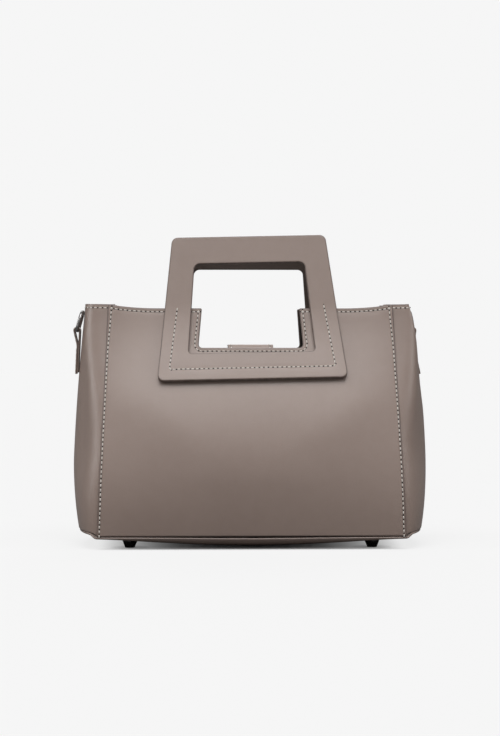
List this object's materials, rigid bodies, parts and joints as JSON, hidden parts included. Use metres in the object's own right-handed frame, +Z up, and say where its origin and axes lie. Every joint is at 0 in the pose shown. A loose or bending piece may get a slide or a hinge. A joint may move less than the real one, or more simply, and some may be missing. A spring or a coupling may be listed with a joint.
{
  "type": "structured leather handbag",
  "caption": "Structured leather handbag with stiff trapezoid cut-out handles, curved panels, side gussets, sagging base, metal feet and side D-rings.",
  "frame": {"origin": "on the floor under the middle of the bag, at the bottom centre of its bounding box", "axes": "+Z up, +X to the right along the width as seen from the front, front panel towards -Y"},
  "size_m": [0.3, 0.13, 0.2622],
  "materials": {
    "leather": "smooth taupe leather, satin",
    "lining": "dark brown suede-like lining",
    "board": "fibre board stiffener",
    "gunmetal": "polished gunmetal plating",
    "steel": "nickel plated"
  },
  "bodies": {
    "bag": {"base_panel": "leather", "base_board": "board", "base_lining": "lining", "left_gusset": "leather", "right_gusset": "leather", "left_gusset_lining": "lining", "right_gusset_lining": "lining", "left_ring_tab": "leather", "right_ring_tab": "leather", "front_left_foot": "gunmetal", "front_right_foot": "gunmetal", "back_left_foot": "gunmetal", "back_right_foot": "gunmetal", "front_left_washer": "steel", "front_right_washer": "steel", "back_left_washer": "steel", "back_right_washer": "steel"},
    "front_side": {"front_panel": "leather", "front_lining": "lining", "front_handle_face": "leather", "front_handle_core": "board", "front_handle_back": "leather", "magnet_patch": "leather", "front_magnet": "steel"},
    "back_side": {"back_panel": "leather", "back_lining": "lining", "back_handle_face": "leather", "back_handle_core": "board", "back_handle_back": "leather", "closure_anchor": "leather"},
    "closure_tab": {"closure_tab_face": "leather", "closure_tab_backing": "leather", "tab_magnet": "steel"},
    "left_ring": {"left_d_ring": "gunmetal"},
    "right_ring": {"right_d_ring": "gunmetal"}
  },
  "joints": [
    {"name": "front_panel_open", "type": "hinge", "parent": "bag", "child": "front_side", "pos_m": [0, -0.062, 0.011], "axis": [1, 0, 0], "range_deg": [0, 7]},
    {"name": "back_panel_open", "type": "hinge", "parent": "bag", "child": "back_side", "pos_m": [0, 0.062, 0.011], "axis": [-1, 0, 0], "range_deg": [0, 7]},
    {"name": "closure_tab_drop", "type": "hinge", "parent": "back_side", "child": "closure_tab", "pos_m": [0, 0.0247, 0.166], "axis": [1, 0, 0], "range_deg": [0, 65]},
    {"name": "left_ring_swing", "type": "hinge", "parent": "bag", "child": "left_ring", "pos_m": [-0.14705, 0, 0.181], "axis": [0, -1, 0], "range_deg": [0, 160]},
    {"name": "right_ring_swing", "type": "hinge", "parent": "bag", "child": "right_ring", "pos_m": [0.13857, 0, 0.181], "axis": [0, 1, 0], "range_deg": [0, 160]}
  ]
}
